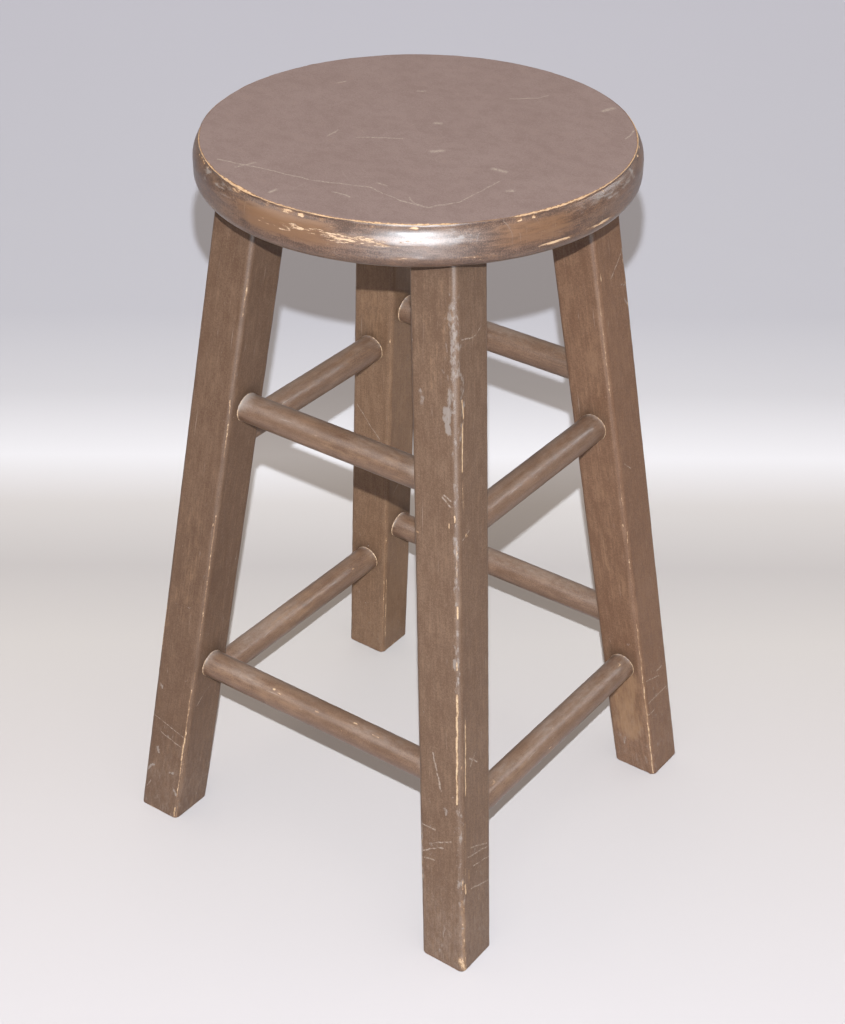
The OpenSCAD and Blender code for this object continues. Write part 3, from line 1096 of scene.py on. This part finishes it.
def painted_wood(name, tones, worn_and_glow_tones, gloss, turns, scratches=(), group=None, top_tones_with_sheen=None):
    """Satin brown paint on pale wood, worn by what the piece's vertices store. With
    top_tones_with_sheen it also has a matt flat top, paler for a painted sheen."""
    material, n = new_material(name)
    stock, grain, flow = n.stored("stock", 1), n.stored("grain", 1), n.stored("flow", 1)
    bare, scuff, dust = n.stored("bare"), n.stored("scuff"), n.stored("dust")
    thin_tone, wood_tones = worn_and_glow_tones
    satin, shine = gloss
    specular = shine

    streaks = n.noise(grain, 0.80, detail=6, roughness=0.62)
    blotches = n.noise(stock, 0.022, detail=4)
    clouds = n.noise(flow, 0.16, detail=5, roughness=0.62)
    grit = n.noise(stock, 1.1, detail=3, roughness=0.7)
    tone = n.scaled(streaks, 0.30, n.math("MULTIPLY", blotches, 0.20))
    tone = n.scaled(clouds, 0.35, tone)
    tone = n.scaled(grit, 0.70, n.math("SUBTRACT", tone, 0.275))
    colour = n.ramp(tone, ((0.40, tones[0]), (0.50, tones[1]), (0.60, tones[2])))
    rough = n.scaled(n.math("SUBTRACT", clouds, 0.5), 0.30, satin)
    # The flat top takes the paler top tones, which carry a painted sheen, and is made matt
    if top_tones_with_sheen:
        top = n.ramp(tone, ((0.40, top_tones_with_sheen[0]), (0.50, top_tones_with_sheen[1]), (0.60, top_tones_with_sheen[2])))
        flat = n.stored("flat")
        colour = n.mix(flat, colour, top)
        rough = n.scaled(flat, MATT_GLOSS[0] - satin, rough)
        specular = n.scaled(flat, MATT_GLOSS[1] - shine, shine)

    fray = n.math("SUBTRACT", n.noise(flow, 0.60, detail=6, roughness=0.70), 0.5)
    # Patches of thin paint; on the legs' front faces they also carry a painted warm glow of reflected
    # light
    patch = n.scaled(n.math("SUBTRACT", streaks, 0.5), 0.7, n.stored("thin"))
    patch = n.scaled(n.math("SUBTRACT", clouds, 0.5), 1.1, patch)
    patch = n.step(patch, 0.05, 0.95, 0.0, 0.95)
    thin = n.step(n.scaled(fray, 1.2, bare), 0.24, 0.62, 0.0, 0.85)
    thin = n.math("MAXIMUM", thin, patch)
    through = n.step(n.scaled(fray, 2.0, bare), 0.60, 0.76)
    wood = n.ramp(n.math("ADD", fray, 0.5), list(zip((0.3, 0.5, 0.72), wood_tones)))

    flake = n.math("SUBTRACT", n.noise(flow, 0.36, detail=6, roughness=0.66), 0.5)
    # Pale rubs, which on the seat's rim also carry a painted highlight
    rubbed = n.step(n.scaled(flake, 2.4, scuff), 0.48, 0.92, 0.0, 0.72)
    dusty = n.step(n.scaled(flake, 0.7, dust), 0.12, 1.0, 0.0, 0.85)
    fine = hairlines(n, stock, turns, 0.5, 0.60)

    # Grime round the joints, and the painted shade on the legs' tops under the seat
    grime = n.step(n.scaled(flake, 1.0, n.stored("stain")), 0.1, 1.0, 0.0, 0.7)
    colour = n.mix(grime, colour, GRIME_AND_SHADE_TONE)
    colour = n.mix(thin, colour, (*thin_tone, 1))
    colour = n.mix(dusty, colour, DUST_TONE)
    colour = n.mix(rubbed, colour, RUB_AND_SHEEN_TONE)
    colour = n.mix(n.math("MULTIPLY", fine, 0.30), colour, SCRATCH_TONE)
    cut = fine
    if scratches:
        marks = placed_scratches(n, group, stock, scratches)
        colour = n.mix(n.math("MULTIPLY", marks, 0.80), colour, SCRATCH_TONE)
        cut = n.math("MAXIMUM", cut, marks)
    colour = n.mix(through, colour, wood)

    rough = n.scaled(rubbed, 0.30, rough)
    rough = n.scaled(dusty, 0.35, rough)
    rough = n.scaled(through, 0.30, rough, clamp=True)

    height = n.math("MULTIPLY", n.noise(grain, 0.42, detail=2), 0.03)
    height = n.scaled(n.noise(stock, 0.15, detail=1), 0.08, height)
    height = n.scaled(grit, 0.004, height)
    height = n.scaled(through, -0.10, height)
    height = n.scaled(cut, -0.04, height)
    bump = n.add("ShaderNodeBump", {"Strength": 1.0, "Distance": MM, "Height": height})
    n.shader({
        "Base Color": colour,
        "Roughness": rough,
        "Normal": bump,
        "Specular IOR Level": specular,
    })
    return material


def bare_wood(name):
    """Clean hardwood for the hidden pins."""
    material, n = new_material(name)
    place = n.add("ShaderNodeTexCoord", {}, 3)
    grain = n.vector("MULTIPLY", place, (1000, 1000, 60))
    rings = n.noise(grain, 0.35, detail=6, roughness=0.6, distortion=0.4)
    pores = n.noise(n.vector("MULTIPLY", place, (4000, 4000, 300)), 0.5, detail=3)
    colour = n.ramp(rings, ((0.32, PIN_TONES[0]), (0.5, PIN_TONES[1]), (0.7, PIN_TONES[2])))
    colour = n.mix(n.step(pores, 0.58, 0.72, 0.0, 0.35), colour, (*PIN_TONES[0], 1))
    rough = n.scaled(pores, 0.2, 0.55)
    height = n.scaled(pores, -0.05, n.math("MULTIPLY", rings, 0.05))
    bump = n.add("ShaderNodeBump", {"Strength": 1.0, "Distance": MM, "Height": height})
    n.shader({"Base Color": colour, "Roughness": rough, "Normal": bump})
    return material


# ================================================================ floor, light and camera
def axes_towards(azimuth, elevation):
    """Right, up and back for something that looks at the stool from a direction."""
    back = np.array([
        math.sin(azimuth) * math.cos(elevation),
        -math.cos(azimuth) * math.cos(elevation),
        math.sin(elevation),
    ])
    right = np.array([math.cos(azimuth), math.sin(azimuth), 0])
    return right, np.cross(back, right), back


def view_axes():
    right, up, back = axes_towards(VIEW_AZIMUTH, VIEW_ELEVATION)
    cos, sin = math.cos(VIEW_ROLL), math.sin(VIEW_ROLL)
    return cos * right + sin * up, cos * up - sin * right, back


def place_facing(thing, place, right, up, back):
    turn = Matrix(np.column_stack([right, up, back]).tolist())
    thing.matrix_world = Matrix.Translation(Vector(place * MM)) @ turn.to_4x4()


def build_camera():
    right, up, back = view_axes()
    data = bpy.data.cameras.new("camera")
    data.sensor_fit = "AUTO"
    data.sensor_width = SENSOR_WIDTH
    data.lens = VIEW_LENS
    data.shift_x = VIEW_SHIFT
    data.clip_end = CLIP_END_M
    camera = bpy.data.objects.new("camera", data)
    bpy.context.scene.collection.objects.link(camera)
    place_facing(camera, VIEW_TARGET + VIEW_DISTANCE * back, right, up, back)
    bpy.context.scene.camera = camera


def add_lamp(name, size, power, place, axes):
    """A disc lamp without falloff, so that the stool is lit evenly."""
    lamp = bpy.data.lights.new(name, "AREA")
    lamp.shape = "DISK"
    lamp.size = size
    lamp.energy = power
    lamp.color = KEY_COLOUR
    lamp.use_nodes = True
    nodes = lamp.node_tree.nodes
    falloff = nodes.new("ShaderNodeLightFalloff")
    falloff.inputs["Strength"].default_value = 1.0
    lamp.node_tree.links.new(falloff.outputs["Constant"], nodes["Emission"].inputs["Strength"])
    thing = bpy.data.objects.new(name, lamp)
    bpy.context.scene.collection.objects.link(thing)
    place_facing(thing, place, *axes)
    return thing


def build_light():
    """A key lamp by the camera, panels for the gloss and a soft tinted sky."""
    view = right, up, back = view_axes()
    key_place = VIEW_TARGET + VIEW_DISTANCE * back + KEY_RISE * up
    add_lamp("key", KEY_SIZE_M, KEY_POWER, key_place, view)
    for index, (azimuth, elevation, size, power) in enumerate(PANELS):
        axes = axes_towards(math.radians(azimuth), math.radians(elevation))
        place = VIEW_TARGET + PANEL_DISTANCE * axes[2]
        panel = add_lamp(f"panel_{index}", size, power, place, axes)
        panel.visible_diffuse = False
    world = bpy.data.worlds.new("studio")
    world.use_nodes = True
    n = Nodes(world.node_tree)
    direction = n.add("ShaderNodeTexCoord", {})
    side = n.vector("DOT_PRODUCT", direction, tuple(right), output=1)
    share = n.add("ShaderNodeMapRange", {0: side, 1: -1.0})
    tint = n.mix(share, (*SKY_LEFT, 1), (*SKY_RIGHT, 1))
    height = n.add("ShaderNodeSeparateXYZ", {0: direction}, 2)
    power = n.add("ShaderNodeMapRange", {0: height, 3: SKY_POWER_LEVEL, 4: SKY_POWER_ABOVE})
    background = world.node_tree.nodes["Background"].inputs
    world.node_tree.links.new(tint, background["Color"])
    world.node_tree.links.new(power, background["Strength"])
    bpy.context.scene.world = world


def build_floor():
    """A pale studio floor, with painted light and shade in bands by the distance behind the stool."""
    half = FLOOR_SIZE / 2
    corners = [(-half, -half, 0), (half, -half, 0), (half, half, 0), (-half, half, 0)]
    floor = make_mesh("studio_floor", np.array(corners, float), [[0, 1, 2, 3]])
    material, n = new_material("studio_paper")
    place = n.add("ShaderNodeNewGeometry", {}, 0)
    heading = (-math.sin(VIEW_AZIMUTH) / MM, math.cos(VIEW_AZIMUTH) / MM, 0)
    behind = n.vector("DOT_PRODUCT", place, heading, output=1)
    first, last = FLOOR_LIGHT_AND_SHADE_TONES[0][0], FLOOR_LIGHT_AND_SHADE_TONES[-1][0]
    share = n.add("ShaderNodeMapRange", {0: behind, 1: float(first), 2: float(last)})
    stops = [((at - first) / (last - first), tone) for at, tone in FLOOR_LIGHT_AND_SHADE_TONES]
    colour = n.ramp(share, stops)
    n.shader({"Base Color": colour, "Roughness": 1.0, "Specular IOR Level": 0.0})
    floor.data.materials.append(material)


# ================================================================ the whole stool
def leg_scratch_ends(leg):
    """A leg's scratches as (from, to, half width), with ends in the leg's own frame."""
    placed = []
    for s0, z0, s1, z1, half_width in LEG_SCRATCHES[leg.name]:
        outline, _ = section_outline(np.array([s0, s1], float))
        ends = leg.local(leg.at_height(outline, np.array([z0, z1], float)))
        placed.append((tuple(ends[0]), tuple(ends[1]), LEG_SCRATCH_WIDTH * half_width))
    return placed


def build_stool():
    group = scratch_group()
    legs = {f"{e}_{s}": LegAxes(s, e) for e in ENDS for s in SIDES}
    rungs = [RungAxes(tier, where) for tier in TIERS for where in (*ENDS, *SIDES)]
    seat_marks = [
        ((x0, y0, 0), (x1, y1, 0), SEAT_SCRATCH_WIDTH * half_width)
        for x0, y0, x1, y1, half_width in SEAT_SCRATCHES
    ]
    seat_paint = painted_wood(
        "seat_paint", RIM_TONES, SEAT_WORN, RIM_GLOSS, SEAT_TURNS, seat_marks, group, SEAT_TOP_TONES_WITH_SHEEN
    )
    build_seat(legs, seat_paint)
    for index, leg in enumerate(legs.values()):
        piece = leg_blank(leg)
        drill(piece, leg_holes(leg, rungs))
        wear_leg(piece, leg, rungs, LEG_SEED + SEED_STEP * index)
        tones = [LEG_SHADES[leg.name] * np.array(tone) for tone in LEG_TONES]
        scratches, name = leg_scratch_ends(leg), f"leg_paint_{leg.name}"
        paint = painted_wood(name, tones, LEG_WORN_AND_GLOW, LEG_GLOSS, LEG_TURNS, scratches, group)
        finish_piece(piece, leg.node, paint)
    rung_paint = painted_wood("rung_paint", RUNG_TONES, LEG_WORN_AND_GLOW, RUNG_GLOSS, RUNG_TURNS)
    for index, rung in enumerate(rungs):
        build_rung(rung, legs, RUNG_SEED + SEED_STEP * index, rung_paint)
    pin_wood = bare_wood("pin_wood")
    for name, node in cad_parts.items():
        if name.startswith("seat_pin_"):
            node.data.materials.clear()
            node.data.materials.append(pin_wood)


build_camera()
build_light()
build_floor()
build_stool()
bpy.context.scene.view_settings.view_transform = "Standard"
